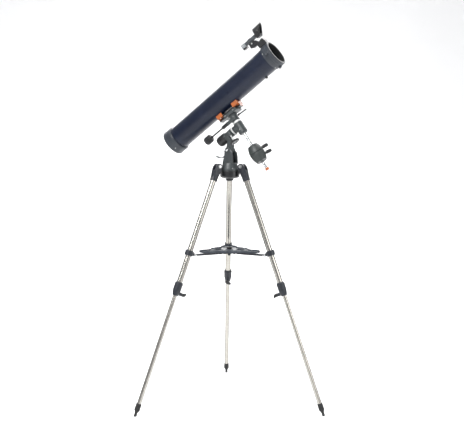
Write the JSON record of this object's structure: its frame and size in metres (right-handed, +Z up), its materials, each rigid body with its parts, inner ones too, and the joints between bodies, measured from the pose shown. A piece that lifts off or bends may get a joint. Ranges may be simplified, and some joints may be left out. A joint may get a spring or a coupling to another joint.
{
  "type": "newtonian reflector telescope",
  "caption": "Newtonian reflector telescope: navy tube with focuser and finder on a tilting equatorial mount with counterweights, on a braced steel-legged tripod with a tray.",
  "frame": {"origin": "on the floor, in the middle of the box around the three feet; the azimuth axis stands 117.75 mm from it towards -Y", "axes": "+Z up along the azimuth axis; +Y towards the rear leg; +X to the right of the two front legs, so the front legs point 30 degrees below -X and +X"},
  "size_m": [0.8284, 0.7201, 1.6952],
  "materials": {
    "tube_paint": "gloss navy paint",
    "mount_paint": "satin grey paint over a casting",
    "leg_steel": "polished stainless tube",
    "bright_steel": "chrome",
    "black_plastic": "satin black moulding",
    "blue_black_plastic": "satin blue-black moulding",
    "grey_plastic": "satin dark grey moulding",
    "orange_plastic": "semi-gloss orange",
    "dial_metal": "satin printed scale ring",
    "mirror_glass": "front-silvered mirror",
    "foot_rubber": "moulded rubber"
  },
  "bodies": {
    "tripod_hub": {"tripod_head": "mount_paint", "leg_hinge_bolts": "bright_steel"},
    "azimuth_clamp": {"azimuth_bolt": "black_plastic"},
    "brace": {"brace_hub": "blue_black_plastic", "accessory_tray": "blue_black_plastic"},
    "left_leg": {"left_leg_bracket": "blue_black_plastic", "left_upper_leg": "leg_steel", "left_brace_clamp": "blue_black_plastic", "left_leg_lock": "blue_black_plastic"},
    "left_lower": {"left_lower_leg": "leg_steel", "left_foot": "foot_rubber"},
    "left_lock": {"left_lock_knob": "black_plastic"},
    "left_arm": {"left_brace_arm": "blue_black_plastic"},
    "right_leg": {"right_leg_bracket": "blue_black_plastic", "right_upper_leg": "leg_steel", "right_brace_clamp": "blue_black_plastic", "right_leg_lock": "blue_black_plastic"},
    "right_lower": {"right_lower_leg": "leg_steel", "right_foot": "foot_rubber"},
    "right_lock": {"right_lock_knob": "black_plastic"},
    "right_arm": {"right_brace_arm": "blue_black_plastic"},
    "rear_leg": {"rear_leg_bracket": "blue_black_plastic", "rear_upper_leg": "leg_steel", "rear_brace_clamp": "blue_black_plastic", "rear_leg_lock": "blue_black_plastic"},
    "rear_lower": {"rear_lower_leg": "leg_steel", "rear_foot": "foot_rubber"},
    "rear_lock": {"rear_lock_knob": "black_plastic"},
    "rear_arm": {"rear_brace_arm": "blue_black_plastic"},
    "azimuth_turntable": {"azimuth_base": "mount_paint"},
    "latitude_clamp": {"latitude_lock": "bright_steel"},
    "latitude_push": {"latitude_screw": "bright_steel"},
    "polar_head": {"polar_housing": "mount_paint", "polar_cap": "black_plastic"},
    "ra_wheel": {"ra_slow_motion": "black_plastic"},
    "ra_body": {"setting_circles": "dial_metal", "dec_housing": "mount_paint", "counterweight_shaft": "bright_steel", "safety_cap": "orange_plastic"},
    "upper_weight": {"upper_counterweight": "mount_paint"},
    "lower_weight": {"lower_counterweight": "mount_paint"},
    "upper_weight_clamp": {"upper_weight_knob": "black_plastic"},
    "lower_weight_clamp": {"lower_weight_knob": "black_plastic"},
    "dec_body": {"dec_head": "mount_paint", "saddle": "mount_paint", "dovetail_bar": "orange_plastic", "main_tube": "tube_paint", "front_ring": "grey_plastic", "rear_cell": "grey_plastic", "primary_mirror": "mirror_glass", "secondary_mirror": "mirror_glass", "spider": "black_plastic", "focuser_body": "grey_plastic", "finder_base": "grey_plastic"},
    "dec_lever": {"dec_lock_lever": "black_plastic"},
    "dec_knob": {"dec_slow_motion": "black_plastic"},
    "finder_unit": {"finder": "grey_plastic"},
    "focus_tube": {"drawtube": "bright_steel"},
    "focus_shaft": {"focus_knobs": "black_plastic"},
    "ocular": {"eyepiece": "black_plastic"}
  },
  "joints": [
    {"name": "brace_lift", "type": "slide", "parent": "tripod_hub", "child": "brace", "axis": [0, 0, 1], "range_m": [0, 0.03], "stiffness_N_per_m": 2000},
    {"name": "left_leg_fold", "type": "hinge", "parent": "tripod_hub", "child": "left_leg", "pos_m": [-0.05369, -0.14875, 1.072], "axis": [0.5, -0.866, 0], "range_deg": [0, 0.6]},
    {"name": "left_leg_slide", "type": "slide", "parent": "left_leg", "child": "left_lower", "axis": [0.3087, 0.1782, 0.9343], "range_m": [0, 0.44], "stiffness_N_per_m": 40000},
    {"name": "left_lock_turn", "type": "hinge", "parent": "left_leg", "child": "left_lock", "pos_m": [-0.23614, -0.25409, 0.51982], "axis": [-0.8091, -0.4672, 0.3565], "range_deg": [-180, 180]},
    {"name": "left_arm_fold", "type": "hinge", "parent": "left_leg", "child": "left_arm", "pos_m": [-0.15911, -0.20961, 0.68282], "axis": [0.5, -0.866, 0], "range_deg": [0, 12]},
    {"name": "right_leg_fold", "type": "hinge", "parent": "tripod_hub", "child": "right_leg", "pos_m": [0.05369, -0.14875, 1.072], "axis": [0.5, 0.866, 0], "range_deg": [0, 0.6]},
    {"name": "right_leg_slide", "type": "slide", "parent": "right_leg", "child": "right_lower", "axis": [-0.3087, 0.1782, 0.9343], "range_m": [0, 0.44], "stiffness_N_per_m": 40000},
    {"name": "right_lock_turn", "type": "hinge", "parent": "right_leg", "child": "right_lock", "pos_m": [0.23614, -0.25409, 0.51982], "axis": [0.8091, -0.4672, 0.3565], "range_deg": [-180, 180]},
    {"name": "right_arm_fold", "type": "hinge", "parent": "right_leg", "child": "right_arm", "pos_m": [0.15911, -0.20961, 0.68282], "axis": [0.5, 0.866, 0], "range_deg": [0, 12]},
    {"name": "rear_leg_fold", "type": "hinge", "parent": "tripod_hub", "child": "rear_leg", "pos_m": [0, -0.05575, 1.072], "axis": [-1, 0, 0], "range_deg": [0, 0.6]},
    {"name": "rear_leg_slide", "type": "slide", "parent": "rear_leg", "child": "rear_lower", "axis": [0, -0.3565, 0.9343], "range_m": [0, 0.44], "stiffness_N_per_m": 40000},
    {"name": "rear_lock_turn", "type": "hinge", "parent": "rear_leg", "child": "rear_lock", "pos_m": [0, 0.15492, 0.51982], "axis": [0, 0.9343, 0.3565], "range_deg": [-180, 180]},
    {"name": "rear_arm_fold", "type": "hinge", "parent": "rear_leg", "child": "rear_arm", "pos_m": [0, 0.06597, 0.68282], "axis": [-1, 0, 0], "range_deg": [0, 12]},
    {"name": "azimuth_turn", "type": "hinge", "parent": "tripod_hub", "child": "azimuth_turntable", "pos_m": [0, -0.11775, 1.052], "axis": [0, 0, 1], "continuous": true},
    {"name": "azimuth_bolt_turn", "type": "hinge", "parent": "tripod_hub", "child": "azimuth_clamp", "pos_m": [0, -0.11775, 1.02], "axis": [0, 0, 1], "range_deg": [-180, 180]},
    {"name": "latitude_tilt", "type": "hinge", "parent": "azimuth_turntable", "child": "polar_head", "pos_m": [0, -0.11775, 1.143], "axis": [-0.5, -0.866, 0], "range_deg": [-14, 23.5], "stiffness_Nm_per_rad": 500},
    {"name": "latitude_lock_turn", "type": "hinge", "parent": "azimuth_turntable", "child": "latitude_clamp", "pos_m": [0, -0.11775, 1.143], "axis": [-0.5, -0.866, 0], "range_deg": [-60, 60]},
    {"name": "latitude_screw_travel", "type": "slide", "parent": "azimuth_turntable", "child": "latitude_push", "axis": [0.866, -0.5, 0], "range_m": [-0.009, 0.014]},
    {"name": "ra_turn", "type": "hinge", "parent": "polar_head", "child": "ra_body", "pos_m": [0.04157, -0.14175, 1.252], "axis": [0.6962, -0.4019, 0.5948], "range_deg": [-90, 90], "stiffness_Nm_per_rad": 20},
    {"name": "ra_wheel_turn", "type": "hinge", "parent": "polar_head", "child": "ra_wheel", "pos_m": [0.01979, -0.15458, 1.18308], "axis": [-0.5151, 0.2974, 0.8039], "range_deg": [-4330, 4330]},
    {"name": "dec_turn", "type": "hinge", "parent": "ra_body", "child": "dec_body", "pos_m": [0.04157, -0.14175, 1.252], "axis": [-0.5151, 0.2974, 0.8039], "continuous": true},
    {"name": "dec_knob_turn", "type": "hinge", "parent": "dec_body", "child": "dec_knob", "pos_m": [0.01102, -0.15183, 1.28094], "axis": [0.6962, -0.4019, 0.5948], "continuous": true},
    {"name": "dec_lever_turn", "type": "hinge", "parent": "dec_body", "child": "dec_lever", "pos_m": [0.03283, -0.1367, 1.29927], "axis": [0.6962, -0.4019, 0.5948], "range_deg": [-30, 30]},
    {"name": "upper_weight_slide", "type": "slide", "parent": "ra_body", "child": "upper_weight", "axis": [-0.5151, 0.2974, 0.8039], "range_m": [0, 0.06], "stiffness_N_per_m": 3000},
    {"name": "lower_weight_slide", "type": "slide", "parent": "ra_body", "child": "lower_weight", "axis": [-0.5151, 0.2974, 0.8039], "range_m": [-0.03, 0], "stiffness_N_per_m": 3000},
    {"name": "upper_weight_knob_turn", "type": "hinge", "parent": "upper_weight", "child": "upper_weight_clamp", "pos_m": [0.11163, -0.1822, 1.14268], "axis": [0.8564, 0.2165, 0.4687], "range_deg": [-180, 180]},
    {"name": "lower_weight_knob_turn", "type": "hinge", "parent": "lower_weight", "child": "lower_weight_clamp", "pos_m": [0.12708, -0.19112, 1.11856], "axis": [0.8564, 0.2165, 0.4687], "range_deg": [-180, 180]},
    {"name": "drawtube_slide", "type": "slide", "parent": "dec_body", "child": "focus_tube", "axis": [0.2937, 0.9155, 0.2749], "range_m": [-0.012, 0.03], "stiffness_N_per_m": 500},
    {"name": "focus_turn", "type": "hinge", "parent": "dec_body", "child": "focus_shaft", "pos_m": [0.12231, -0.09288, 1.50659], "axis": [0.6551, 0.0167, -0.7554], "range_deg": [-120, 280]},
    {"name": "eyepiece_slide", "type": "slide", "parent": "focus_tube", "child": "ocular", "axis": [0.2937, 0.9155, 0.2749], "range_m": [0, 0.03], "stiffness_N_per_m": 500},
    {"name": "finder_tilt", "type": "hinge", "parent": "dec_body", "child": "finder_unit", "pos_m": [0.09398, -0.19554, 1.60823], "axis": [0.382, 0.9089, 0.1671], "range_deg": [-2, 2]}
  ],
  "couplings": [
    {"joint": "left_leg_fold", "follows": "brace_lift", "rad_per_m": 0.25316},
    {"joint": "left_arm_fold", "follows": "brace_lift", "rad_per_m": 6.4985},
    {"joint": "right_leg_fold", "follows": "brace_lift", "rad_per_m": 0.25316},
    {"joint": "right_arm_fold", "follows": "brace_lift", "rad_per_m": 6.4985},
    {"joint": "rear_leg_fold", "follows": "brace_lift", "rad_per_m": 0.25316},
    {"joint": "rear_arm_fold", "follows": "brace_lift", "rad_per_m": 6.4985},
    {"joint": "latitude_screw_travel", "follows": "latitude_tilt", "m_per_rad": 0.03},
    {"joint": "ra_wheel_turn", "follows": "ra_turn", "ratio": 48},
    {"joint": "dec_knob_turn", "follows": "dec_turn", "ratio": 48},
    {"joint": "focus_turn", "follows": "drawtube_slide", "rad_per_m": 153.85}
  ]
}
